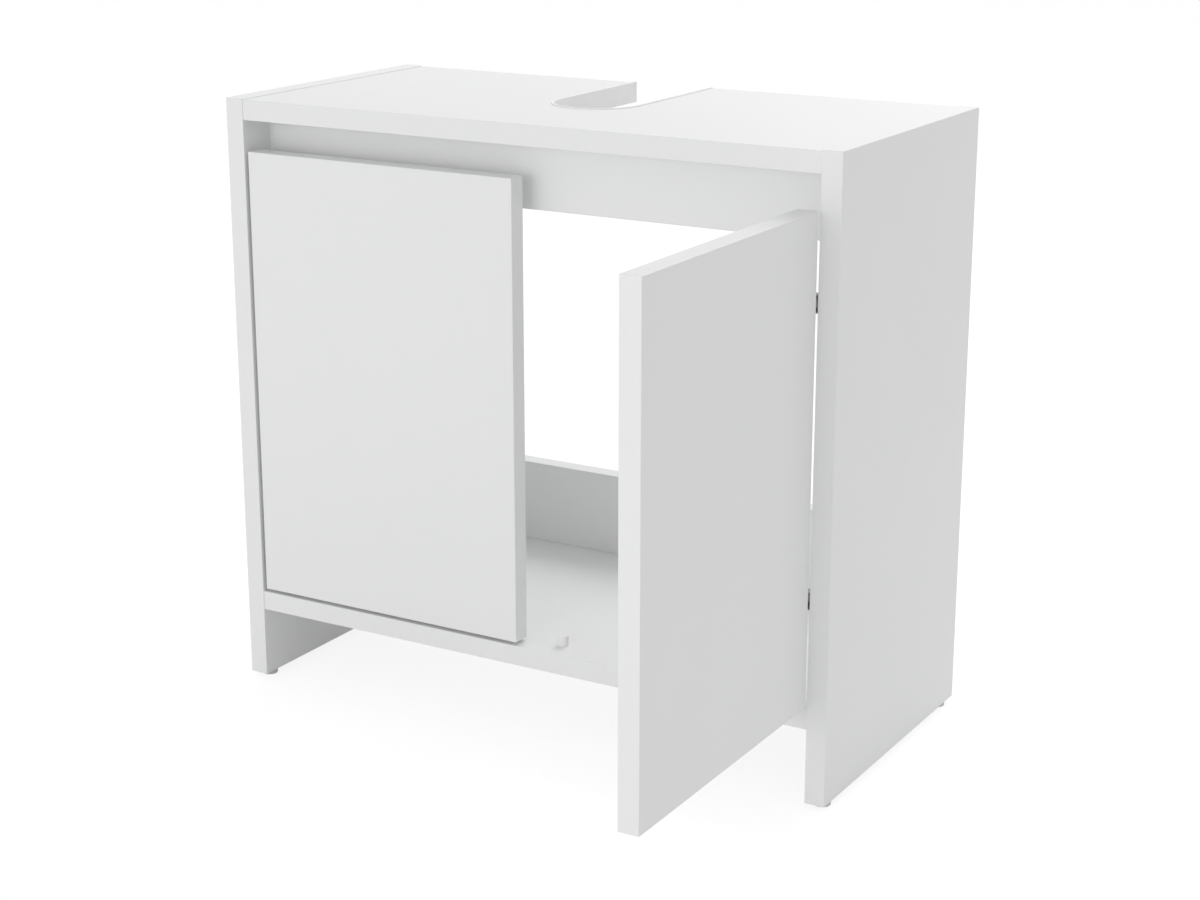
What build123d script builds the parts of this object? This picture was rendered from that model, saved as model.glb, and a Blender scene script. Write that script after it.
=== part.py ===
"""Sink base cabinet for a wash basin: two side panels, a top panel with a pipe cut-out, a raised bottom
panel, two rails, two inset doors on concealed hinges, stops, glides and knock-down fittings.

Millimetres. x runs across, y to the back from the side panels' front edges, z up from the floor.
The left door is closed and the right door stands open at a right angle.
"""
import os
from math import atan2, cos, degrees, hypot, radians, sin
from typing import NamedTuple

from build123d import *


class Screw(NamedTuple):
    """Sizes of a pan-head screw."""
    shank_r: float
    shank_l: float
    head_r: float
    head_t: float


# carcass
CABINET_W = 600.0
CABINET_D = 280.0
SIDE_H = 546.0
BOARD = 18.0
EDGE_R = 0.5
SETBACK = 1.0            # top and bottom panel behind the side panels' front edges
TOP_DROP = 1.0           # top panel below the side panels' top edges
TOE_H = 65.5             # underside of the bottom panel above the side panels' bottom edges
FRONT_RAIL_H = 60.0
FRONT_RAIL_Y = 37.6
REAR_RAIL_H = 80.0
REAR_RAIL_INSET = 1.0

# pipe cut-out in the top panel's back edge
CUTOUT_R = 39.0
CUTOUT_Y = 142.0
EDGING_T = 2.0
EDGING_PROUD = 1.0       # above the top panel, level with the side panels
EDGING_EDGE_R = 0.4
EDGING_ROOM = 0.2        # between the edging and the board

# glides and door stops
GLIDE_H = 5.0
GLIDE_R = 7.5
GLIDE_EDGE_R = 1.2
GLIDE_INSET = 16.0
STOP_R = 5.0
STOP_H = 9.5
STOP_EDGE_R = 0.8
STOP_X = 33.0
STEM_R = 2.5
STEM_L = 10.0

# doors
DOOR_GAP = 3.0
FINGER_GAP = 28.0        # between the doors' top edges and the top panel
DOOR_INSET = 1.5

# hinge line of a door, from the door's own edge and front face
PIVOT_TO_EDGE = 3.4
PIVOT_TO_FRONT = 0.6
OPEN_TURN = 90.0
HINGE_END = 81.0         # hinge middle from the door's top or bottom edge

# hinge cup
CUP_R = 17.5
CUP_DEPTH = 13.0
CUP_MARGIN = 3.0         # wood left between the bore and the door's edge
CUP_WALL = 0.9
FLANGE_T = 1.2
FLANGE_LIP = 1.0
CUP_SCREW_OFFSET = 9.5
CUP_SCREW_Z = 22.5
WING_R = 6.0
EAR_T = 1.1
EAR_R = 1.9
NOTCH_DEPTH = 6.2
PIN_R = 1.0
PIN_FROM_EDGE = 6.0
OUTER_PIN_RISE = 0.7     # outer pin above the door's back face
INNER_PIN_DROP = 3.2     # inner pin below it

# links
ARM_REACH = 37.0         # arm-side pivots from the hinge line
LINK_T = 1.4
LINK_EYE_R = 1.7
LINK_TIP_R = 1.45
RIVET_R = 0.9
ELBOW_X = 8.0
OUTER_BOW = 1.5
INNER_BOW = 3.0
INNER_LINK_W = 4.6
OUTER_BAR_T = 2.0
PLAY = 0.3               # between parts that move past each other

# arm and mounting plate
ARM_W = 15.0
SHEET = 1.2
ARM_HEIGHT = 16.0        # arm's outer face from the side panel
ARM_LOW = 7.0            # arm's free edges from the side panel
ARM_END = 88.0
CRANK_BACK = 35.2
CRANK_FRONT = 26.0
NOSE_W = 6.1
NOSE_TIP = 1.8           # arm's sheet around a rivet
ARM_ROOM = 1.0           # between the arm and the shut door's cup flange
RIVET_HEAD_R = 1.5
RIVET_HEAD_T = 0.4
PLATE_T = 3.0
PLATE_Y = 56.5
PLATE_L = 49.0
PLATE_FRONT = 37.5
WING_L = 44.0
WING_W = 12.0
PLATE_CORNER_R = 2.4
PLATE_SCREW_Z = 16.0
SETTING_SCREW_V = 46.0
FIXING_SCREW_V = 68.0

# screws
CUP_SCREW = Screw(shank_r=1.7, shank_l=11.0, head_r=3.5, head_t=1.6)
PLATE_SCREW = Screw(shank_r=2.4, shank_l=13.0, head_r=4.2, head_t=2.0)
ARM_SCREW = Screw(shank_r=2.0, shank_l=9.0, head_r=3.8, head_t=1.5)
SLOT_SHARE = 1.2         # cross slot's length against the head's radius
SLOT_W = 0.9
SLOT_DEPTH = 0.8

# knock-down fittings
CAM_R = 7.5
CAM_H = 12.5
CAM_REACH = 34.0         # cam middle from the board's end
THREAD_R = 2.5
THREAD_L = 10.0
BOLT_R = 3.5
BOLT_BORE_R = 4.0
NECK_R = 1.3
BOLT_HEAD_R = 2.5
BOLT_HEAD_L = 3.0
BOLT_INSET = 60.0        # bolts from a panel's front and back edge
DOWEL_R = 4.0
DOWEL_SIDE = 12.0
DOWEL_END = 18.0
DOWEL_STEP = 32.0
DOWEL_CHAMFER = 1.0
RAIL_STEP = 15.0         # bolt and dowel from a rail's middle height
FIT = 0.05               # round parts in their holes
END_ROOM = 0.5           # room at the bottom of a blind hole

# worked out
HALF_W = CABINET_W / 2
HALF_IN = HALF_W - BOARD
SIDE_Z = GLIDE_H
TOP_Z = SIDE_Z + SIDE_H - TOP_DROP - BOARD
BOTTOM_Z = SIDE_Z + TOE_H
FLOOR_Z = BOTTOM_Z + BOARD
FRONT_RAIL_Z = TOP_Z - FRONT_RAIL_H
REAR_RAIL_Y = CABINET_D - REAR_RAIL_INSET - BOARD
DOOR_W = (2 * HALF_IN - 3 * DOOR_GAP) / 2
DOOR_Z = FLOOR_Z + DOOR_GAP
DOOR_H = TOP_Z - FINGER_GAP - DOOR_Z
DOOR_FREE = PIVOT_TO_EDGE + DOOR_W
DOOR_BACK = PIVOT_TO_FRONT + BOARD
PIVOT_X = DOOR_GAP / 2 + DOOR_FREE
PIVOT_Y = DOOR_INSET - PIVOT_TO_FRONT
HINGE_Z = (DOOR_Z + HINGE_END, DOOR_Z + DOOR_H - HINGE_END)
SIDE_FACE = PIVOT_X - HALF_IN
STOP_Y = DOOR_INSET + BOARD + STOP_R
CUP_U = PIVOT_TO_EDGE + CUP_MARGIN + CUP_R
CUP_FLOOR = DOOR_BACK - CUP_DEPTH + CUP_WALL
PIN_U = PIVOT_TO_EDGE + PIN_FROM_EDGE
OUTER_LINK_Z = INNER_LINK_W / 2 + PLAY
EAR_Z = OUTER_LINK_Z + OUTER_BAR_T + PLAY
PIN_HALF = EAR_Z + EAR_T
CHEEK_Z = ARM_W / 2 - SHEET
ARM_SCREW_V = (SETTING_SCREW_V, FIXING_SCREW_V)
LEFT = -1
RIGHT = 1
OPENED = {LEFT: False, RIGHT: True}


def arm_pivot(pin):
    """The arm-side pivot that keeps the link's length the same with the door shut and at a right angle."""
    angle = atan2(pin[1], pin[0]) - radians(OPEN_TURN / 2)
    return ARM_REACH * cos(angle), ARM_REACH * sin(angle)


OUTER_PIN = (PIN_U, DOOR_BACK + OUTER_PIN_RISE)
INNER_PIN = (PIN_U, DOOR_BACK - INNER_PIN_DROP)
OUTER_RIVET = arm_pivot(OUTER_PIN)
INNER_RIVET = arm_pivot(INNER_PIN)


# Working planes of a door's hinges: u runs from the hinge line to the door's free edge, v to the door's back

def hinge_frames(side, with_door):
    """One plane for each hinge of a side, turned with the door where the parts ride on it."""
    if with_door and OPENED[side]:
        to_edge = (0, -1, 0)
    else:
        to_edge = (-side, 0, 0)
    return [Plane(origin=(side * PIVOT_X, PIVOT_Y, z), x_dir=to_edge, z_dir=(0, 0, -side)) for z in HINGE_Z]


def spot(frame, u, v, lift=0.0, turn=0.0):
    """The frame's own plane moved to u, v and turned."""
    return Plane(frame.location * Location((u, v, lift), (0, 0, turn)))


def facing_back(frame, u, v, z=0.0):
    """A plane that looks out of the door's back."""
    return Plane(origin=frame.from_local_coords((u, v, z)), x_dir=frame.x_dir, z_dir=frame.y_dir)


def facing_door(frame, u, v, z=0.0):
    """A plane that looks from the side panel into the cabinet."""
    return Plane(origin=frame.from_local_coords((u, v, z)), x_dir=frame.y_dir, z_dir=frame.x_dir)


def link_turn(pin, rivet, side):
    """Angle of a link in the door's plane, with the door as that side has it."""
    if OPENED[side]:
        turn = radians(OPEN_TURN)
        rivet = (rivet[0] * cos(turn) - rivet[1] * sin(turn), rivet[0] * sin(turn) + rivet[1] * cos(turn))
    return degrees(atan2(rivet[1] - pin[1], rivet[0] - pin[0]))


# Shapes used again and again

def rod(plane, radius, length, mode=Mode.ADD):
    """A cylinder from the plane along its normal."""
    with Locations(plane):
        Cylinder(radius, length, align=(Align.CENTER, Align.CENTER, Align.MIN), mode=mode)


def blank(x0, x1, y0, y1, z0, z1, long_only=False):
    """A board with its edges eased: all of them, or only the ones along x."""
    with BuildPart() as board:
        with Locations(((x0 + x1) / 2, (y0 + y1) / 2, (z0 + z1) / 2)):
            Box(x1 - x0, y1 - y0, z1 - z0)
        if long_only:
            fillet(board.edges().filter_by(Axis.X), EDGE_R)
        else:
            fillet(board.edges(), EDGE_R)
    return board.part


def strut(start, end, width):
    """A round-ended bar in a sketch."""
    run = (end[0] - start[0], end[1] - start[1])
    with Locations(((start[0] + end[0]) / 2, (start[1] + end[1]) / 2)):
        SlotCenterToCenter(hypot(*run), width, rotation=degrees(atan2(run[1], run[0])))


def cross_slot(face, head_r):
    """A cross cut into a round head's face."""
    with Locations(face):
        for turn in (0, 90):
            Box(SLOT_SHARE * head_r, SLOT_W, 2 * SLOT_DEPTH, rotation=(0, 0, turn), mode=Mode.SUBTRACT)


def screw(plane, size):
    """A pan-head screw: the plane lies under its head and looks out of it."""
    rod(plane.offset(-size.shank_l), size.shank_r, size.shank_l)
    rod(plane, size.head_r, size.head_t)
    cross_slot(plane.offset(size.head_t), size.head_r)


def save(builder, label):
    """Name a piece and write it out."""
    builder.part.label = label
    export_step(builder.part, f"parts/{label}.step")


# Joints between the boards and the side panels

def bolt_spots():
    """Each bolt as (side, y, z, plane of its cam on the board's hidden face)."""
    for side in (LEFT, RIGHT):
        cam_x = side * (HALF_IN - CAM_REACH)
        for under in (TOP_Z, BOTTOM_Z):
            for y in (BOLT_INSET, CABINET_D - BOLT_INSET):
                yield side, y, under + BOARD / 2, Plane(origin=(cam_x, y, under), z_dir=(0, 0, 1))
        for front, z in ((FRONT_RAIL_Y, FRONT_RAIL_Z + FRONT_RAIL_H / 2 - RAIL_STEP),
                         (REAR_RAIL_Y, FLOOR_Z + REAR_RAIL_H / 2 - RAIL_STEP)):
            yield side, front + BOARD / 2, z, Plane(origin=(cam_x, front + BOARD, z), z_dir=(0, -1, 0))


def dowel_spots():
    """Each dowel as (side, y, z)."""
    for side in (LEFT, RIGHT):
        for under in (TOP_Z, BOTTOM_Z):
            for y in (BOLT_INSET + DOWEL_STEP, CABINET_D - BOLT_INSET - DOWEL_STEP):
                yield side, y, under + BOARD / 2
        yield side, FRONT_RAIL_Y + BOARD / 2, FRONT_RAIL_Z + FRONT_RAIL_H / 2 + RAIL_STEP
        yield side, REAR_RAIL_Y + BOARD / 2, FLOOR_Z + REAR_RAIL_H / 2 + RAIL_STEP


def drill_end(bounds):
    """Bolt, cam and dowel holes of the joints inside a board's y and z range."""
    y0, y1, z0, z1 = bounds
    for side, y, z, cam in bolt_spots():
        if y0 < y < y1 and z0 < z < z1:
            end = Plane(origin=(side * HALF_IN, y, z), z_dir=(-side, 0, 0))
            rod(end, BOLT_BORE_R, CAM_REACH, Mode.SUBTRACT)
            rod(cam, CAM_R, CAM_H + FIT, Mode.SUBTRACT)
    for side, y, z in dowel_spots():
        if y0 < y < y1 and z0 < z < z1:
            end = Plane(origin=(side * HALF_IN, y, z), z_dir=(-side, 0, 0))
            rod(end, DOWEL_R + FIT, DOWEL_END + END_ROOM, Mode.SUBTRACT)


def glide_spots():
    """Plane under each glide, on the side panels' bottom edges."""
    for x in (-HALF_W + BOARD / 2, HALF_W - BOARD / 2):
        for y in (GLIDE_INSET, CABINET_D - GLIDE_INSET):
            yield Plane(origin=(x, y, SIDE_Z), z_dir=(0, 0, 1))


# Boards

def side_panel(side):
    inner = side * HALF_IN
    outer = side * HALF_W
    board = blank(min(inner, outer), max(inner, outer), 0, CABINET_D, SIDE_Z, SIDE_Z + SIDE_H)
    with BuildPart() as panel:
        add(board)
        for joint_side, y, z, _ in bolt_spots():
            if joint_side == side:
                hole = Plane(origin=(inner, y, z), z_dir=(side, 0, 0))
                rod(hole, THREAD_R + FIT, THREAD_L + END_ROOM, Mode.SUBTRACT)
        for joint_side, y, z in dowel_spots():
            if joint_side == side:
                hole = Plane(origin=(inner, y, z), z_dir=(side, 0, 0))
                rod(hole, DOWEL_R + FIT, DOWEL_SIDE + END_ROOM, Mode.SUBTRACT)
        for z in HINGE_Z:
            for step in (-PLATE_SCREW_Z, PLATE_SCREW_Z):
                hole = Plane(origin=(inner, PLATE_Y, z + step), z_dir=(side, 0, 0))
                depth = PLATE_SCREW.shank_l - PLATE_T + END_ROOM
                rod(hole, PLATE_SCREW.shank_r + FIT, depth, Mode.SUBTRACT)
        for under in glide_spots():
            if under.origin.X * side > 0:
                rod(under, STEM_R + FIT, STEM_L + END_ROOM, Mode.SUBTRACT)
    return panel


def cutout_outline(radius, back, mode=Mode.ADD):
    """The pipe cut-out in a sketch, as far as y = back."""
    run = back - CUTOUT_Y
    with Locations((0, CUTOUT_Y)):
        Circle(radius, mode=mode)
    with Locations((0, CUTOUT_Y + run / 2)):
        Rectangle(2 * radius, run, mode=mode)


def top_panel():
    board = blank(-HALF_IN, HALF_IN, SETBACK, CABINET_D, TOP_Z, TOP_Z + BOARD, long_only=True)
    with BuildPart() as panel:
        add(board)
        drill_end((0, CABINET_D, TOP_Z, TOP_Z + BOARD))
        with BuildSketch(Plane.XY.offset(TOP_Z)):
            cutout_outline(CUTOUT_R + EDGING_T + EDGING_ROOM, CABINET_D + EDGE_R)
        extrude(amount=BOARD, mode=Mode.SUBTRACT)
    return panel


def cutout_edging():
    """The strip round the pipe cut-out, a little higher than the top panel."""
    with BuildPart() as strip:
        with BuildSketch(Plane.XY.offset(TOP_Z)):
            cutout_outline(CUTOUT_R + EDGING_T, CABINET_D - EDGE_R)
            cutout_outline(CUTOUT_R, CABINET_D, Mode.SUBTRACT)
        extrude(amount=BOARD + EDGING_PROUD)
        fillet(strip.faces().sort_by(Axis.Z)[-1].edges(), EDGING_EDGE_R)
    return strip


def stop_spots():
    """Plane under each door stop, on the bottom panel's top face."""
    return [Plane(origin=(x, STOP_Y, FLOOR_Z), z_dir=(0, 0, 1)) for x in (-STOP_X, STOP_X)]


def bottom_panel():
    board = blank(-HALF_IN, HALF_IN, SETBACK, CABINET_D, BOTTOM_Z, FLOOR_Z, long_only=True)
    with BuildPart() as panel:
        add(board)
        drill_end((0, CABINET_D, BOTTOM_Z, FLOOR_Z))
        for stop in stop_spots():
            rod(stop.offset(-STEM_L - END_ROOM), STEM_R + FIT, STEM_L + END_ROOM, Mode.SUBTRACT)
    return panel


def rail(front, low, height):
    board = blank(-HALF_IN, HALF_IN, front, front + BOARD, low, low + height, long_only=True)
    with BuildPart() as bar:
        add(board)
        drill_end((front, front + BOARD, low, low + height))
    return bar


def door(side):
    near = PIVOT_TO_EDGE
    if OPENED[side]:
        faces = (side * (PIVOT_X - DOOR_BACK), side * (PIVOT_X - PIVOT_TO_FRONT))
        depth = (PIVOT_Y - DOOR_FREE, PIVOT_Y - near)
    else:
        faces = (side * (PIVOT_X - DOOR_FREE), side * (PIVOT_X - near))
        depth = (DOOR_INSET, DOOR_INSET + BOARD)
    board = blank(min(faces), max(faces), *depth, DOOR_Z, DOOR_Z + DOOR_H)
    with BuildPart() as leaf:
        add(board)
        for frame in hinge_frames(side, True):
            bore = facing_back(frame, CUP_U, DOOR_BACK)
            rod(bore.offset(-CUP_DEPTH - FIT), CUP_R, CUP_DEPTH + FIT, Mode.SUBTRACT)
            for z in (-CUP_SCREW_Z, CUP_SCREW_Z):
                pilot = facing_back(frame, CUP_U + CUP_SCREW_OFFSET, DOOR_BACK, z)
                depth = CUP_SCREW.shank_l
                rod(pilot.offset(-depth), CUP_SCREW.shank_r + FIT, depth, Mode.SUBTRACT)
    return leaf


# Small parts of the carcass

def glide_feet():
    with BuildPart() as feet:
        for under in glide_spots():
            rod(under.offset(-GLIDE_H), GLIDE_R, GLIDE_H)
            rod(under, STEM_R, STEM_L)
        fillet(feet.edges().filter_by(GeomType.CIRCLE).group_by(Axis.Z)[0], GLIDE_EDGE_R)
    return feet


def door_stops():
    with BuildPart() as stops:
        for stop in stop_spots():
            rod(stop, STOP_R, STOP_H)
            rod(stop.offset(-STEM_L), STEM_R, STEM_L)
        fillet(stops.edges().filter_by(GeomType.CIRCLE).group_by(Axis.Z)[-1], STOP_EDGE_R)
    return stops


def cam_housings():
    with BuildPart() as cams:
        for side, y, z, cam in bolt_spots():
            rod(cam, CAM_R - FIT, CAM_H)
            middle = side * (HALF_IN - CAM_REACH)
            neck = Plane(origin=(middle, y, z), z_dir=(side, 0, 0))
            rod(neck, NECK_R + PLAY, CAM_R, Mode.SUBTRACT)
            pocket = neck.offset(-BOLT_HEAD_L / 2 - PLAY)
            rod(pocket, BOLT_HEAD_R + PLAY, BOLT_HEAD_L + 2 * PLAY, Mode.SUBTRACT)
            cross_slot(cam, CAM_R)
    return cams


def cam_bolts():
    shaft_l = CAM_REACH - CAM_R - END_ROOM
    with BuildPart() as bolts:
        for side, y, z, _ in bolt_spots():
            end = Plane(origin=(side * HALF_IN, y, z), z_dir=(-side, 0, 0))
            rod(end.offset(-THREAD_L), THREAD_R, THREAD_L)
            rod(end, BOLT_R, shaft_l)
            rod(end.offset(shaft_l), NECK_R, CAM_REACH - shaft_l)
            rod(end.offset(CAM_REACH - BOLT_HEAD_L / 2), BOLT_HEAD_R, BOLT_HEAD_L)
    return bolts


def dowels():
    with BuildPart() as pegs:
        for side, y, z in dowel_spots():
            end = Plane(origin=(side * (HALF_IN + DOWEL_SIDE), y, z), z_dir=(-side, 0, 0))
            rod(end, DOWEL_R, DOWEL_SIDE + DOWEL_END)
        chamfer(pegs.edges().filter_by(GeomType.CIRCLE), DOWEL_CHAMFER)
    return pegs


# Hinge parts on the door

def hinge_cups(side):
    with BuildPart() as cups:
        for frame in hinge_frames(side, True):
            seat = facing_back(frame, CUP_U, DOOR_BACK)
            with BuildSketch(seat):
                Circle(CUP_R + FLANGE_LIP)
                with Locations((CUP_SCREW_OFFSET, 0)):
                    SlotCenterToCenter(2 * CUP_SCREW_Z, 2 * WING_R, rotation=90)
            extrude(amount=FLANGE_T)
            rod(seat.offset(-CUP_DEPTH), CUP_R - FIT, CUP_DEPTH)
            hollow = DOOR_BACK - CUP_FLOOR + FLANGE_T
            rod(seat.offset(FLANGE_T - hollow), CUP_R - CUP_WALL, hollow, Mode.SUBTRACT)
            with Locations(spot(frame, PIVOT_TO_EDGE, DOOR_BACK)):
                Box(2 * PIN_FROM_EDGE, 2 * NOTCH_DEPTH, 2 * EAR_Z, mode=Mode.SUBTRACT)
            for z in (-PIN_HALF, EAR_Z):
                with BuildSketch(spot(frame, PIN_U, 0, z)):
                    with Locations((0, (CUP_FLOOR + OUTER_PIN[1]) / 2)):
                        Rectangle(2 * EAR_R, OUTER_PIN[1] - CUP_FLOOR)
                    with Locations((0, OUTER_PIN[1])):
                        Circle(EAR_R)
                extrude(amount=EAR_T)
            for pin in (OUTER_PIN, INNER_PIN):
                rod(spot(frame, *pin, -PIN_HALF), PIN_R + FIT, 2 * PIN_HALF, Mode.SUBTRACT)
            for z in (-CUP_SCREW_Z, CUP_SCREW_Z):
                hole = facing_back(frame, CUP_U + CUP_SCREW_OFFSET, DOOR_BACK, z)
                rod(hole, CUP_SCREW.shank_r + FIT, FLANGE_T, Mode.SUBTRACT)
    return cups


def cup_screws(side):
    with BuildPart() as screws:
        for frame in hinge_frames(side, True):
            for z in (-CUP_SCREW_Z, CUP_SCREW_Z):
                screw(facing_back(frame, CUP_U + CUP_SCREW_OFFSET, DOOR_BACK + FLANGE_T, z), CUP_SCREW)
    return screws


def cup_pins(side):
    """One long pin for the inner link and two short ones for the outer link in each cup."""
    with BuildPart() as pins:
        for frame in hinge_frames(side, True):
            rod(spot(frame, *INNER_PIN, -PIN_HALF), PIN_R, 2 * PIN_HALF)
            short = PIN_HALF - OUTER_LINK_Z
            for z in (-PIN_HALF, OUTER_LINK_Z):
                rod(spot(frame, *OUTER_PIN, z), PIN_R, short)
    return pins


def link_sketch(length, bow):
    """Outline of a bowed link with an eye at its cup end and a smaller one at its arm end."""
    elbow = (ELBOW_X, -bow)
    Circle(LINK_EYE_R)
    strut((0, 0), elbow, LINK_T)
    strut(elbow, (length, 0), LINK_T)
    with Locations((length, 0)):
        Circle(LINK_TIP_R)
    Circle(PIN_R + FIT, mode=Mode.SUBTRACT)
    with Locations((length, 0)):
        Circle(RIVET_R + FIT, mode=Mode.SUBTRACT)


def inner_links(side):
    length = hypot(INNER_RIVET[0] - INNER_PIN[0], INNER_RIVET[1] - INNER_PIN[1])
    turn = link_turn(INNER_PIN, INNER_RIVET, side)
    with BuildPart() as links:
        for frame in hinge_frames(side, True):
            with BuildSketch(spot(frame, *INNER_PIN, -INNER_LINK_W / 2, turn)):
                link_sketch(length, INNER_BOW)
            extrude(amount=INNER_LINK_W)
    return links


def outer_links(side):
    length = hypot(OUTER_RIVET[0] - OUTER_PIN[0], OUTER_RIVET[1] - OUTER_PIN[1])
    turn = link_turn(OUTER_PIN, OUTER_RIVET, side)
    with BuildPart() as links:
        for frame in hinge_frames(side, True):
            for z in (-OUTER_LINK_Z - OUTER_BAR_T, OUTER_LINK_Z):
                with BuildSketch(spot(frame, *OUTER_PIN, z, turn)):
                    link_sketch(length, OUTER_BOW)
                extrude(amount=OUTER_BAR_T)
            with BuildSketch(spot(frame, *OUTER_PIN, -OUTER_LINK_Z, turn)):
                with Locations((length, 0)):
                    Circle(LINK_TIP_R)
                    Circle(RIVET_R + FIT, mode=Mode.SUBTRACT)
            extrude(amount=2 * OUTER_LINK_Z)
    return links


# Hinge parts on the side panel

def hinge_arms(side):
    tip = INNER_RIVET[0] + NOSE_TIP
    low = SIDE_FACE + ARM_LOW
    top = SIDE_FACE + ARM_HEIGHT
    nose_end = INNER_RIVET[1] - NOSE_TIP
    nose_root = tip - NOSE_W
    clear = DOOR_BACK + FLANGE_T + ARM_ROOM
    with BuildPart() as arms:
        for frame in hinge_frames(side, False):
            for z in (-ARM_W / 2, CHEEK_Z):
                with BuildSketch(spot(frame, 0, 0, z)):
                    with BuildLine():
                        Polyline((low, ARM_END), (top, ARM_END), (top, CRANK_BACK), (tip, CRANK_BACK),
                                 (tip, nose_end), (nose_root, nose_end), (nose_root, clear),
                                 (nose_root - NOSE_W, CRANK_FRONT), (low, CRANK_FRONT), close=True)
                    make_face()
                extrude(amount=SHEET)
            back_l = ARM_END - CRANK_BACK + SHEET
            with Locations(spot(frame, top - SHEET / 2, ARM_END - back_l / 2)):
                Box(SHEET, back_l, ARM_W)
            with Locations(spot(frame, (low + tip) / 2, CRANK_BACK - SHEET / 2)):
                Box(tip - low, SHEET, ARM_W)
            for rivet in (OUTER_RIVET, INNER_RIVET):
                rod(spot(frame, *rivet, -ARM_W / 2), RIVET_R + FIT, ARM_W, Mode.SUBTRACT)
            for v in ARM_SCREW_V:
                hole = facing_door(frame, top - SHEET, v)
                rod(hole, ARM_SCREW.shank_r + FIT, SHEET, Mode.SUBTRACT)
    return arms


def arm_rivets(side):
    """Short rivets in the arm's two cheeks. They end beside the links, which stay free of them."""
    shank = ARM_W / 2 - EAR_Z
    with BuildPart() as rivets:
        for frame in hinge_frames(side, False):
            for rivet in (OUTER_RIVET, INNER_RIVET):
                rod(spot(frame, *rivet, EAR_Z), RIVET_R, shank)
                rod(spot(frame, *rivet, ARM_W / 2), RIVET_HEAD_R, RIVET_HEAD_T)
                rod(spot(frame, *rivet, -ARM_W / 2), RIVET_R, shank)
                rod(spot(frame, *rivet, -ARM_W / 2 - RIVET_HEAD_T), RIVET_HEAD_R, RIVET_HEAD_T)
    return rivets


def mounting_plates(side):
    block_w = 2 * (CHEEK_Z - FIT)
    middle = PLATE_FRONT + PLATE_L / 2 - PLATE_Y
    wings_v = PLATE_Y - PIVOT_Y
    with BuildPart() as plates:
        for frame in hinge_frames(side, False):
            base = facing_door(frame, SIDE_FACE, wings_v)
            with BuildSketch(base):
                RectangleRounded(WING_W, WING_L, PLATE_CORNER_R)
                with Locations((middle, 0)):
                    RectangleRounded(PLATE_L, ARM_W, PLATE_CORNER_R)
            extrude(amount=PLATE_T)
            with BuildSketch(base.offset(PLATE_T)):
                with Locations((middle, 0)):
                    Rectangle(PLATE_L, block_w)
            extrude(amount=ARM_HEIGHT - SHEET - PLATE_T)
            for z in (-PLATE_SCREW_Z, PLATE_SCREW_Z):
                hole = facing_door(frame, SIDE_FACE, wings_v, z)
                rod(hole, PLATE_SCREW.shank_r + FIT, PLATE_T, Mode.SUBTRACT)
            for v in ARM_SCREW_V:
                top = facing_door(frame, SIDE_FACE + ARM_HEIGHT - SHEET, v)
                depth = ARM_SCREW.shank_l - SHEET + END_ROOM
                rod(top.offset(-depth), ARM_SCREW.shank_r + FIT, depth, Mode.SUBTRACT)
    return plates


def plate_screws(side):
    with BuildPart() as screws:
        for frame in hinge_frames(side, False):
            for z in (-PLATE_SCREW_Z, PLATE_SCREW_Z):
                screw(facing_door(frame, SIDE_FACE + PLATE_T, PLATE_Y - PIVOT_Y, z), PLATE_SCREW)
    return screws


def arm_screws(side):
    with BuildPart() as screws:
        for frame in hinge_frames(side, False):
            for v in ARM_SCREW_V:
                screw(facing_door(frame, SIDE_FACE + ARM_HEIGHT, v), ARM_SCREW)
    return screws


def main():
    os.makedirs("parts", exist_ok=True)
    save(top_panel(), "top_panel")
    save(cutout_edging(), "cutout_edging")
    save(bottom_panel(), "bottom_panel")
    save(rail(FRONT_RAIL_Y, FRONT_RAIL_Z, FRONT_RAIL_H), "front_rail")
    save(rail(REAR_RAIL_Y, FLOOR_Z, REAR_RAIL_H), "rear_rail")
    save(glide_feet(), "glide_feet")
    save(door_stops(), "door_stops")
    save(cam_housings(), "cam_housings")
    save(cam_bolts(), "cam_bolts")
    save(dowels(), "dowels")
    for side, name in ((LEFT, "left"), (RIGHT, "right")):
        save(side_panel(side), f"{name}_side_panel")
        save(door(side), f"{name}_door")
        save(hinge_cups(side), f"{name}_hinge_cups")
        save(cup_screws(side), f"{name}_cup_screws")
        save(cup_pins(side), f"{name}_cup_pins")
        save(outer_links(side), f"{name}_outer_links")
        save(inner_links(side), f"{name}_inner_links")
        save(hinge_arms(side), f"{name}_hinge_arms")
        save(arm_rivets(side), f"{name}_arm_rivets")
        save(mounting_plates(side), f"{name}_mounting_plates")
        save(plate_screws(side), f"{name}_plate_screws")
        save(arm_screws(side), f"{name}_arm_screws")


main()
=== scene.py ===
"""Looks for the sink base cabinet: white boards and plastic, plated hinge parts, springs and a studio.

Laid out as a Blender add-on and run as a script. Metres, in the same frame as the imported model.
"""
from math import pi, radians

import bpy
from bpy.props import FloatProperty, FloatVectorProperty, IntProperty, PointerProperty
from bpy.types import Operator, Panel, PropertyGroup
from mathutils import Euler, Matrix, Vector


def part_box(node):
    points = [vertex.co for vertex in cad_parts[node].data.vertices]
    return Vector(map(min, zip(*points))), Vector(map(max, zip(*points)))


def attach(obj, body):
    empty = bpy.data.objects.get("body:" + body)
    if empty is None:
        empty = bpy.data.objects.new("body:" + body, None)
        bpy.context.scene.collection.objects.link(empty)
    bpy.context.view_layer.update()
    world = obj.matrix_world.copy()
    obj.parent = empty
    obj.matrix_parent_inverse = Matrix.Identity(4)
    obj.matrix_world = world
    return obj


bl_info = {
    "name": "Sink Base Cabinet",
    "version": (1, 0, 0),
    "blender": (4, 5, 0),
    "location": "View3D > Sidebar > Sink Cabinet",
    "description": "Finishes, hinge springs and studio for a sink base cabinet",
    "category": "Object",
}

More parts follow.
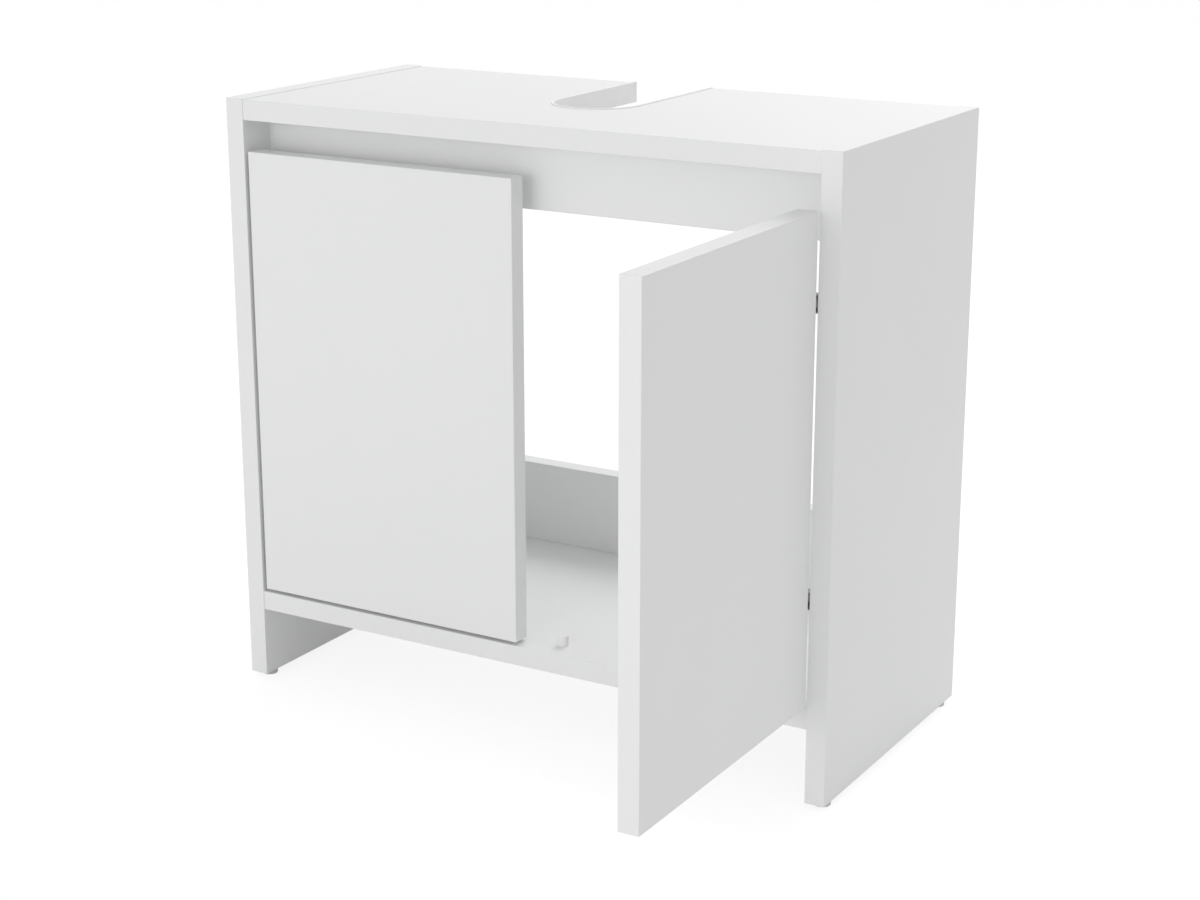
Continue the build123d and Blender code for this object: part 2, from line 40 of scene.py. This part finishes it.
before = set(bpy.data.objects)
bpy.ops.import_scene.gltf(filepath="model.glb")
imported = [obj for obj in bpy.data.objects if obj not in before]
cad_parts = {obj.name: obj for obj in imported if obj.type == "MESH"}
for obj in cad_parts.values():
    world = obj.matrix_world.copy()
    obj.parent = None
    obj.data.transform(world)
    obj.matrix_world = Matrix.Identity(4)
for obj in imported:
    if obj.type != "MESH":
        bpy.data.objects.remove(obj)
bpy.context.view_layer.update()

SIDES = ("left", "right")
MM = 0.001

# each board with the axes across which its edges are banded, and the band's thickness and its joint
BANDED = {"top_panel": "Y", "bottom_panel": "Y", "front_rail": "Z", "rear_rail": "Z",
          "left_side_panel": "YZ", "right_side_panel": "YZ", "left_door": "XZ", "right_door": "YZ"}
BAND = 1.0 * MM
SEAM = 0.12 * MM

# the cup's inner pin, and how far its axis is from the cup's floor
PIN_R = 1.0 * MM
PIN_HALF = 6.0 * MM
PIN_TO_FLOOR = 8.9 * MM

# the spring: where a coil starts beside the inner link, its straight ends and the bend between leg and foot
COIL_START = 2.4 * MM
COIL_TAIL = 1.2 * MM
BEND_R = 0.7 * MM
LEG_FOOT = 4.0 * MM
COIL_STEPS = 18
BEND_STEPS = 6
WIRE_SIDES = 10
RING_REACH = 0.6    # of the wire's thickness, to find a wire's end by its height
SMOOTH_ANGLE = radians(50)

# the room, the lamps and what the camera sees of the floor's glow
MIDDLE = (0, 0, 0.28)
FRONT_LAMP = (-0.2, -3.2, 0.6)
BACK_LAMP = (0, 2.2, 2.4)
SOFTBOX = 2.0
FLOOR_SIZE = 16.0
FLOOR_GLOW = 1.15
GLOW_SHARE = 0.72
WHITE = (1, 1, 1, 1)

# the camera, solved from the photo, with its angles in radians
CAMERA_PLACE = (1.0212, -1.5965, 0.8285)
CAMERA_PITCH = 0.2871
CAMERA_YAW = 0.5303
SENSOR_WIDTH = 36.0

# sockets of a Mix node, whose names repeat
MIX_FACTOR = 0
MIX_NUMBERS = (2, 3)
MIX_COLOURS = (6, 7)
MIX_COLOUR_OUT = 2


# Node trees

class Tree:
    """Builds a material's nodes with short calls."""

    def __init__(self, name):
        self.material = bpy.data.materials.new(name)
        self.material.use_nodes = True
        self.nodes = self.material.node_tree.nodes
        self.nodes.clear()
        self.out = self.add("ShaderNodeOutputMaterial")
        self.coord = self.add("ShaderNodeTexCoord").outputs["Object"]

    def add(self, kind, inputs=(), **settings):
        node = self.nodes.new(kind)
        for key, value in settings.items():
            setattr(node, key, value)
        for key, value in dict(inputs).items():
            self.feed(node.inputs[key], value)
        return node

    def feed(self, socket, value):
        if isinstance(value, bpy.types.NodeSocket):
            self.material.node_tree.links.new(value, socket)
        else:
            socket.default_value = value

    def noise(self, scale, detail=2.0, roughness=0.5, stretch=None):
        """Noise on object coordinates, stretched along an axis where asked."""
        vector = self.coord
        if stretch:
            vector = self.add("ShaderNodeMapping", {"Vector": self.coord, "Scale": stretch}).outputs[0]
        inputs = {"Vector": vector, "Scale": scale, "Detail": detail, "Roughness": roughness}
        return self.add("ShaderNodeTexNoise", inputs).outputs["Fac"]

    def spread(self, value, low, high):
        """Maps 0..1 to low..high."""
        inputs = {"Value": value, "To Min": low, "To Max": high}
        return self.add("ShaderNodeMapRange", inputs).outputs["Result"]

    def ramp(self, value, zero, one):
        """0 at and beyond one value, 1 at and beyond the other, whichever way they lie."""
        inputs = {"Value": value, "From Min": zero, "From Max": one}
        return self.add("ShaderNodeMapRange", inputs, clamp=True).outputs["Result"]

    def math(self, operation, first, second=0.0):
        return self.add("ShaderNodeMath", {0: first, 1: second}, operation=operation).outputs[0]

    def mix(self, factor, first, second):
        """The first colour at 0 and the second at 1."""
        inputs = dict(zip((MIX_FACTOR, *MIX_COLOURS), (factor, first, second)))
        return self.add("ShaderNodeMix", inputs, data_type="RGBA").outputs[MIX_COLOUR_OUT]

    def bump(self, height, distance, strength=1.0, normal=None):
        inputs = {"Height": height, "Distance": distance, "Strength": strength}
        if normal:
            inputs["Normal"] = normal
        return self.add("ShaderNodeBump", inputs).outputs[0]

    def finish(self, **inputs):
        """The shader, with its sockets named by words joined by underscores."""
        named = {key.replace("_", " "): value for key, value in inputs.items()}
        shader = self.add("ShaderNodeBsdfPrincipled", named)
        self.feed(self.out.inputs["Surface"], shader.outputs[0])
        return self.material


def rgba(colour, share=1.0):
    """A colour as a node takes it, made darker or lighter by a share."""
    return tuple(min(1.0, part * share) for part in colour) + (1.0,)


# Finishes

def laminate(board, colour, roughness):
    """Satin white laminate: a faint cloudiness, a fine pebbled skin, and the edge band's hairline."""
    tree = Tree(f"{board} laminate")
    edge = edge_distance(tree, board)
    seam = tree.ramp(tree.math("ABSOLUTE", tree.math("SUBTRACT", edge, BAND)), zero=SEAM, one=0.0)
    band = tree.ramp(edge, zero=BAND + SEAM, one=BAND)
    cloud = tree.noise(scale=3.0, detail=3.0)
    speck = tree.spread(tree.noise(scale=900.0), low=0.0, high=0.03)
    tone = tree.mix(cloud, rgba(colour, 0.985), rgba(colour, 1.01))
    tone = tree.mix(speck, tone, rgba(colour, 0.8))
    tone = tree.mix(tree.math("MULTIPLY", seam, 0.35), tone, rgba(colour, 0.62))
    patch = tree.noise(scale=14.0, detail=4.0, roughness=0.6)
    dull = tree.spread(patch, roughness - 0.05, roughness + 0.07)
    dull = tree.math("SUBTRACT", dull, tree.math("MULTIPLY", band, 0.06))
    pebble = tree.bump(tree.noise(scale=1400.0, detail=1.0), distance=0.02 * MM, strength=0.35)
    wave = tree.bump(tree.noise(scale=45.0, detail=1.0), distance=0.02 * MM, strength=0.3, normal=pebble)
    groove = tree.bump(seam, distance=-0.05 * MM, strength=0.5, normal=wave)
    return tree.finish(Base_Color=tone, Roughness=dull, Normal=groove, Specular_IOR_Level=0.35)


def edge_distance(tree, board):
    """How far a point of a board is from the nearest of its banded edges."""
    low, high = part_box(board)
    place = tree.add("ShaderNodeSeparateXYZ", {0: tree.coord}).outputs
    nearest = None
    for axis in BANDED[board]:
        index = "XYZ".index(axis)
        offset = tree.math("SUBTRACT", place[index], (low[index] + high[index]) / 2)
        inside = tree.math("SUBTRACT", (high[index] - low[index]) / 2, tree.math("ABSOLUTE", offset))
        nearest = inside if nearest is None else tree.math("MINIMUM", nearest, inside)
    return nearest


def moulded_plastic(name, colour, roughness):
    """White moulded plastic with the slight grain of a spark-eroded mould."""
    tree = Tree(name)
    tone = tree.mix(tree.noise(scale=60.0, detail=3.0), rgba(colour, 0.96), rgba(colour, 1.02))
    dull = tree.spread(tree.noise(scale=300.0), roughness - 0.06, roughness + 0.08)
    spark = tree.bump(tree.noise(scale=2500.0), distance=0.02 * MM, strength=0.5)
    return tree.finish(Base_Color=tone, Roughness=dull, Normal=spark, Specular_IOR_Level=0.45)


def plated_steel(name, colour, roughness, stretch=None):
    """Plated or plain steel: faint streaks of the rolling or turning, and slight stains."""
    tree = Tree(name)
    streak = tree.noise(scale=900.0, detail=3.0, roughness=0.6, stretch=stretch)
    stain = tree.noise(scale=120.0, detail=4.0, roughness=0.6)
    tone = tree.mix(tree.spread(stain, low=0.0, high=0.2), rgba(colour), rgba(colour, 0.7))
    dull = tree.spread(streak, roughness - 0.04, roughness + 0.07)
    scratch = tree.bump(streak, distance=0.004 * MM, strength=0.3)
    return tree.finish(Base_Color=tone, Metallic=1.0, Roughness=dull, Normal=scratch)


def cast_zinc(colour, roughness):
    """Die-cast zinc: dull grey with a cloudy, slightly pitted skin."""
    tree = Tree("cast zinc")
    cloud = tree.noise(scale=220.0, detail=5.0, roughness=0.7)
    tone = tree.mix(cloud, rgba(colour, 0.75), rgba(colour, 1.05))
    dull = tree.spread(cloud, roughness - 0.05, roughness + 0.15)
    pits = tree.bump(tree.noise(scale=1800.0, detail=3.0), distance=0.03 * MM, strength=0.5)
    return tree.finish(Base_Color=tone, Metallic=1.0, Roughness=dull, Normal=pits)


def beech(colour):
    """Bare beech with fine grain along the dowels."""
    tree = Tree("beech")
    grain = tree.noise(scale=500.0, detail=4.0, roughness=0.6, stretch=(0.08, 1.0, 1.0))
    flecks = tree.noise(scale=1600.0, stretch=(0.2, 1.0, 1.0))
    tone = tree.mix(grain, rgba(colour, 0.78), rgba(colour, 1.08))
    tone = tree.mix(tree.spread(flecks, low=0.0, high=0.3), tone, rgba(colour, 0.6))
    pores = tree.bump(grain, distance=0.05 * MM, strength=0.5)
    return tree.finish(Base_Color=tone, Roughness=0.7, Normal=pores)


def dress(nodes, material):
    """Gives CAD nodes a finish in all their slots."""
    for name in nodes:
        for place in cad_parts[name].material_slots:
            place.material = material


# Modelling by hand

def apply_modifier(kind, **settings):
    """Adds a modifier to the active piece and applies it."""
    piece = bpy.context.object
    modifier = piece.modifiers.new(kind.title(), kind)
    for key, value in settings.items():
        setattr(modifier, key, value)
    bpy.ops.object.modifier_apply(modifier=modifier.name)


def pick_ring(piece, height, reach):
    """Selects the open end of a wire that lies at a height, give or take a reach, in edit mode."""
    bpy.ops.object.mode_set(mode="OBJECT")
    used = [0] * len(piece.data.edges)
    for face in piece.data.polygons:
        for loop in face.loop_indices:
            used[piece.data.loops[loop].edge_index] += 1
    for part in list(piece.data.vertices) + list(piece.data.edges) + list(piece.data.polygons):
        part.select = False
    for edge, count in zip(piece.data.edges, used):
        ends = [piece.data.vertices[index] for index in edge.vertices]
        edge.select = count == 1 and all(abs(end.co.z - height) < reach for end in ends)
        for end in ends:
            end.select = end.select or edge.select
    bpy.ops.object.mode_set(mode="EDIT")


def draw_out(move):
    """Extrudes the selected end of a wire."""
    bpy.ops.mesh.extrude_region_move(TRANSFORM_OT_translate={"value": move})


def close_end():
    """Fills the selected end of a wire."""
    bpy.ops.mesh.edge_face_add()
    bpy.ops.mesh.select_all(action="DESELECT")


# Settings

class SINKCAB_Finishes(PropertyGroup):
    laminate: FloatVectorProperty(name="Laminate", description="Colour of the boards", subtype="COLOR",
                                  size=3, min=0, max=1, default=(0.856, 0.862, 0.859))
    laminate_roughness: FloatProperty(name="Laminate roughness", description="Dullness of the boards",
                                      min=0, max=1, default=0.42, subtype="FACTOR")
    stops: FloatVectorProperty(name="Stops", description="Colour of the door stops",
                               subtype="COLOR", size=3, min=0, max=1, default=(0.86, 0.86, 0.855))
    # the glides' white is darkened well below the stops' white, as painted shade for the shade at their
    # sides and under them
    glides_with_painted_shade: FloatVectorProperty(name="Glides", description="Colour of the glides, a duller white",
                                subtype="COLOR", size=3, min=0, max=1, default=(0.62, 0.62, 0.615))
    # the edging's white is raised above the stops' white, partly a whiter plastic and partly painted light
    # on the cut-out's shaded inner wall
    edging: FloatVectorProperty(name="Edging", description="Colour of the strip round the pipe cut-out",
                                subtype="COLOR", size=3, min=0, max=1, default=(0.93, 0.935, 0.93))
    # the hinges' colour is a dark nickel, darkened further as painted shade for the hinge seen in shade
    # through the door gap
    dark_nickel_and_painted_shade: FloatVectorProperty(name="Nickel", description="Colour of the hinges", subtype="COLOR",
                                size=3, min=0, max=1, default=(0.18, 0.178, 0.175))
    zinc: FloatVectorProperty(name="Zinc", description="Colour of the cam fittings", subtype="COLOR",
                              size=3, min=0, max=1, default=(0.55, 0.55, 0.57))
    steel: FloatVectorProperty(name="Steel", description="Colour of pins and screws", subtype="COLOR",
                               size=3, min=0, max=1, default=(0.52, 0.52, 0.54))
    beech: FloatVectorProperty(name="Beech", description="Colour of the dowels", subtype="COLOR",
                               size=3, min=0, max=1, default=(0.52, 0.34, 0.17))


class SINKCAB_Springs(PropertyGroup):
    wire: FloatProperty(name="Wire", description="Thickness of the spring wire", subtype="DISTANCE",
                        unit="LENGTH", default=0.5 * MM, min=0.2 * MM, max=0.8 * MM)
    coil_radius: FloatProperty(name="Coil radius", description="Middle of the wire from the pin's axis",
                               subtype="DISTANCE", unit="LENGTH", default=1.35 * MM, min=MM, max=2 * MM)
    pitch: FloatProperty(name="Pitch", description="Rise of one turn", subtype="DISTANCE",
                         unit="LENGTH", default=0.6 * MM, min=0.3 * MM, max=1.2 * MM)
    turns: IntProperty(name="Turns", description="Turns on each side of the inner link",
                       default=3, min=1, max=6)


class SINKCAB_Stage(PropertyGroup):
    floor: FloatVectorProperty(name="Floor", description="Colour of the floor", subtype="COLOR",
                               size=3, min=0, max=1, default=(0.93, 0.93, 0.93))
    sky: FloatProperty(name="Sky light", description="Strength of the even light", default=0.65, min=0)
    front_power: FloatProperty(name="Front softbox", description="Power of the lamp in front of the doors",
                               subtype="POWER", unit="POWER", default=25.0, min=0)
    back_power: FloatProperty(name="Back softbox", description="Power of the lamp above and behind",
                              subtype="POWER", unit="POWER", default=33.0, min=0)
    lens: FloatProperty(name="Lens", description="Focal length on a 36 mm wide frame", unit="CAMERA",
                        default=68.95, min=10)


# Pieces

class SINKCAB_OT_boards(Operator):
    """Finish the carcass boards and the doors"""
    bl_idname = "sinkcab.boards"
    bl_label = "Boards and Doors"

    def execute(self, context):
        finish = context.scene.sinkcab_finishes
        for board in BANDED:
            dress((board,), laminate(board, finish.laminate, finish.laminate_roughness))
        return {"FINISHED"}


class SINKCAB_OT_plastic(Operator):
    """Finish the cut-out's edging, the glides and the door stops"""
    bl_idname = "sinkcab.plastic"
    bl_label = "Edging, Glides and Stops"

    def execute(self, context):
        finish = context.scene.sinkcab_finishes
        # the edging takes the raised white, which holds painted light
        dress(("cutout_edging",), moulded_plastic("edging plastic with painted light", finish.edging, roughness=0.4))
        # the glides take the darkened white, which holds painted shade in their colour
        dress(("glide_feet",), moulded_plastic("glide plastic with painted shade", finish.glides_with_painted_shade, roughness=0.5))
        dress(("door_stops",), moulded_plastic("stop plastic", finish.stops, roughness=0.38))
        return {"FINISHED"}


class SINKCAB_OT_fittings(Operator):
    """Finish the cams, their bolts and the dowels"""
    bl_idname = "sinkcab.fittings"
    bl_label = "Knock-down Fittings"

    def execute(self, context):
        finish = context.scene.sinkcab_finishes
        turned = plated_steel("bolt steel", finish.steel, roughness=0.3, stretch=(1.0, 0.1, 0.1))
        dress(("cam_housings",), cast_zinc(finish.zinc, roughness=0.42))
        dress(("cam_bolts",), turned)
        dress(("dowels",), beech(finish.beech))
        return {"FINISHED"}


class SINKCAB_OT_hinges(Operator):
    """Finish the hinges' cups, arms, plates, links, pins and screws"""
    bl_idname = "sinkcab.hinges"
    bl_label = "Hinges"

    def execute(self, context):
        finish = context.scene.sinkcab_finishes
        # the pressed hinge parts take this dark colour, part dark nickel and part painted shade
        dark_nickel_and_painted_shade = plated_steel("nickel plate", finish.dark_nickel_and_painted_shade, roughness=0.26, stretch=(0.15, 1.0, 1.0))
        bright = plated_steel("screw zinc", finish.steel, roughness=0.24)
        plain = plated_steel("pin steel", finish.steel, roughness=0.34, stretch=(1.0, 1.0, 0.1))
        for side in SIDES:
            pressed = ("hinge_cups", "hinge_arms", "mounting_plates", "outer_links", "inner_links")
            dress([f"{side}_{piece}" for piece in pressed], dark_nickel_and_painted_shade)
            dress([f"{side}_{piece}" for piece in ("cup_screws", "plate_screws", "arm_screws")], bright)
            dress([f"{side}_{piece}" for piece in ("cup_pins", "arm_rivets")], plain)
        return {"FINISHED"}


class SINKCAB_OT_springs(Operator):
    """Wind the closing springs that sit on the inner pin of each hinge cup"""
    bl_idname = "sinkcab.springs"
    bl_label = "Hinge Springs"

    def execute(self, context):
        spring = context.scene.sinkcab_springs
        steel = plated_steel("spring steel", context.scene.sinkcab_finishes.steel, roughness=0.3)
        coil = wind_coil(spring)
        for side in SIDES:
            wound = []
            for place in spring_places(side):
                for half in (1, -1):
                    twin = coil.copy()
                    twin.data = coil.data.copy()
                    context.collection.objects.link(twin)
                    twin.data.transform(place @ Matrix.Scale(half, 4, (0, 0, 1)))
                    if half < 0:
                        twin.data.flip_normals()
                    wound.append(twin)
            bpy.ops.object.select_all(action="DESELECT")
            for twin in wound:
                twin.select_set(True)
            context.view_layer.objects.active = wound[0]
            bpy.ops.object.join()
            bpy.ops.object.shade_smooth_by_angle(angle=SMOOTH_ANGLE)
            springs = context.object
            springs.name = f"{side}_hinge_springs"
            springs.data.name = springs.name
            springs.data.materials.append(steel)
            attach(springs, f"{side}_leaf")
        bpy.data.objects.remove(coil)
        return {"FINISHED"}


def wind_coil(spring):
    """One coil beside the inner link, wound on the pin's axis, with a leg that rests on the cup's floor."""
    start = COIL_START + spring.wire / 2
    top = start + spring.turns * spring.pitch
    reach = RING_REACH * spring.wire
    bpy.ops.object.select_all(action="DESELECT")
    bpy.ops.mesh.primitive_circle_add(vertices=WIRE_SIDES, radius=spring.wire / 2,
                                      location=(spring.coil_radius, 0, start), rotation=(pi / 2, 0, 0))
    coil = bpy.context.object
    bpy.ops.object.transform_apply()
    apply_modifier("SCREW", angle=-2 * pi, screw_offset=spring.pitch, iterations=spring.turns,
                   steps=COIL_STEPS, render_steps=COIL_STEPS)
    pick_ring(coil, start, reach)
    draw_out((0, COIL_TAIL, 0))
    close_end()
    pick_ring(coil, top, reach)
    drop = PIN_TO_FLOOR - spring.wire / 2 - BEND_R
    draw_out((0, -drop, 0))
    bend = (spring.coil_radius + BEND_R, -drop, top)
    bpy.ops.mesh.spin(steps=BEND_STEPS, angle=pi / 2, center=bend, axis=(0, 0, -1))
    draw_out((LEG_FOOT, 0, 0))
    close_end()
    bpy.ops.mesh.select_all(action="SELECT")
    bpy.ops.mesh.normals_make_consistent(inside=False)
    bpy.ops.object.mode_set(mode="OBJECT")
    face_out(coil)
    return coil


def face_out(piece):
    """Turns a closed piece's faces outwards by its volume's sign, which holds for one this small."""
    if sum(face.center.dot(face.normal) * face.area for face in piece.data.polygons) < 0:
        piece.data.flip_normals()


def spring_places(side):
    """The inner pin's middle in each cup of a door, as matrices from the pin's own axes to the frame."""
    low, high = (Vector(corner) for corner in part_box(f"{side}_cup_pins"))
    middle = (low + high) / 2
    if side == "left":
        along, back = Vector((1, 0, 0)), Vector((0, 1, 0))
        axis = (middle.x, low.y + PIN_R)
    else:
        along, back = Vector((0, -1, 0)), Vector((-1, 0, 0))
        axis = (high.x - PIN_R, middle.y)
    turn = Matrix((along, back, along.cross(back))).transposed().to_4x4()
    for height in (low.z + PIN_HALF, high.z - PIN_HALF):
        yield Matrix.Translation((*axis, height)) @ turn


class SINKCAB_OT_stage(Operator):
    """Make the floor, the light and the camera"""
    bl_idname = "sinkcab.stage"
    bl_label = "Floor, Light and Camera"

    def execute(self, context):
        stage = context.scene.sinkcab_stage
        make_floor(stage.floor)
        make_world(stage.sky)
        add_lamp("front softbox", FRONT_LAMP, stage.front_power)
        add_lamp("back softbox", BACK_LAMP, stage.back_power)
        add_camera(stage.lens)
        context.scene.view_settings.view_transform = "Standard"
        return {"FINISHED"}


def background_rays(nodes, links):
    """1 where the camera, a glossy surface or glass looks, and 0 for the light that falls on the object."""
    path = nodes.new("ShaderNodeLightPath")
    total = path.outputs["Is Camera Ray"]
    for ray in ("Is Glossy Ray", "Is Transmission Ray"):
        add = nodes.new("ShaderNodeMath")
        add.operation = "ADD"
        add.use_clamp = True
        links.new(total, add.inputs[0])
        links.new(path.outputs[ray], add.inputs[1])
        total = add.outputs[0]
    return total


def make_floor(colour):
    """A pale floor that shows white, and keeps part of the object's shadow."""
    bpy.ops.mesh.primitive_plane_add(size=FLOOR_SIZE)
    floor = bpy.context.object
    floor.name = "floor"
    tree = Tree("floor")
    tone = tree.mix(tree.noise(scale=0.7), rgba(colour, 0.99), rgba(colour))
    lit = tree.add("ShaderNodeBsdfDiffuse", {"Color": tone})
    glow = tree.add("ShaderNodeEmission", {"Color": WHITE, "Strength": FLOOR_GLOW})
    seen = background_rays(tree.nodes, tree.material.node_tree.links)
    share = tree.math("MULTIPLY", seen, GLOW_SHARE)
    both = tree.add("ShaderNodeMixShader", {0: share, 1: lit.outputs[0], 2: glow.outputs[0]})
    tree.feed(tree.out.inputs["Surface"], both.outputs[0])
    floor.data.materials.append(tree.material)


def make_world(strength):
    """Even light on the object, and plain white behind it."""
    world = bpy.data.worlds.new("studio")
    bpy.context.scene.world = world
    world.use_nodes = True
    nodes = world.node_tree.nodes
    links = world.node_tree.links
    nodes.clear()
    blend = nodes.new("ShaderNodeMix")
    for socket, value in zip(MIX_NUMBERS, (strength, 1.0)):
        blend.inputs[socket].default_value = value
    back = nodes.new("ShaderNodeBackground")
    back.inputs["Color"].default_value = WHITE
    out = nodes.new("ShaderNodeOutputWorld")
    links.new(background_rays(nodes, links), blend.inputs[MIX_FACTOR])
    links.new(blend.outputs[0], back.inputs["Strength"])
    links.new(back.outputs[0], out.inputs["Surface"])


def add_lamp(name, place, power):
    """A round softbox aimed at the cabinet's middle."""
    data = bpy.data.lights.new(name, "AREA")
    data.shape = "DISK"
    data.size = SOFTBOX
    data.energy = power
    lamp = bpy.data.objects.new(name, data)
    bpy.context.collection.objects.link(lamp)
    lamp.location = place
    aim = Vector(MIDDLE) - Vector(place)
    lamp.rotation_euler = aim.to_track_quat("-Z", "Y").to_euler()


def add_camera(lens):
    """The photo's view, with a pitched camera in place of a shifted frame."""
    data = bpy.data.cameras.new("camera")
    data.sensor_width = SENSOR_WIDTH
    data.lens = lens
    camera = bpy.data.objects.new("camera", data)
    bpy.context.collection.objects.link(camera)
    camera.location = CAMERA_PLACE
    camera.rotation_euler = Euler((pi / 2 - CAMERA_PITCH, 0, CAMERA_YAW))
    bpy.context.scene.camera = camera


class SINKCAB_PT_panel(Panel):
    bl_label = "Sink Base Cabinet"
    bl_idname = "SINKCAB_PT_panel"
    bl_space_type = "VIEW_3D"
    bl_region_type = "UI"
    bl_category = "Sink Cabinet"

    def draw(self, context):
        scene = context.scene
        for group in (scene.sinkcab_finishes, scene.sinkcab_springs, scene.sinkcab_stage):
            box = self.layout.box()
            for name in group.bl_rna.properties.keys():
                if name not in ("rna_type", "name"):
                    box.prop(group, name)
        for step in STEPS:
            self.layout.operator(step.bl_idname)


STEPS = (SINKCAB_OT_boards, SINKCAB_OT_plastic, SINKCAB_OT_fittings, SINKCAB_OT_hinges, SINKCAB_OT_springs,
         SINKCAB_OT_stage)
CLASSES = (SINKCAB_Finishes, SINKCAB_Springs, SINKCAB_Stage) + STEPS + (SINKCAB_PT_panel,)


def register():
    for cls in CLASSES:
        bpy.utils.register_class(cls)
    bpy.types.Scene.sinkcab_finishes = PointerProperty(type=SINKCAB_Finishes)
    bpy.types.Scene.sinkcab_springs = PointerProperty(type=SINKCAB_Springs)
    bpy.types.Scene.sinkcab_stage = PointerProperty(type=SINKCAB_Stage)


def unregister():
    del bpy.types.Scene.sinkcab_finishes
    del bpy.types.Scene.sinkcab_springs
    del bpy.types.Scene.sinkcab_stage
    for cls in reversed(CLASSES):
        bpy.utils.unregister_class(cls)


def main():
    register()
    bpy.ops.object.select_all(action="DESELECT")
    bpy.ops.sinkcab.boards()
    bpy.ops.sinkcab.plastic()
    bpy.ops.sinkcab.fittings()
    bpy.ops.sinkcab.hinges()
    bpy.ops.sinkcab.springs()
    bpy.ops.sinkcab.stage()


if __name__ == "__main__":
    main()
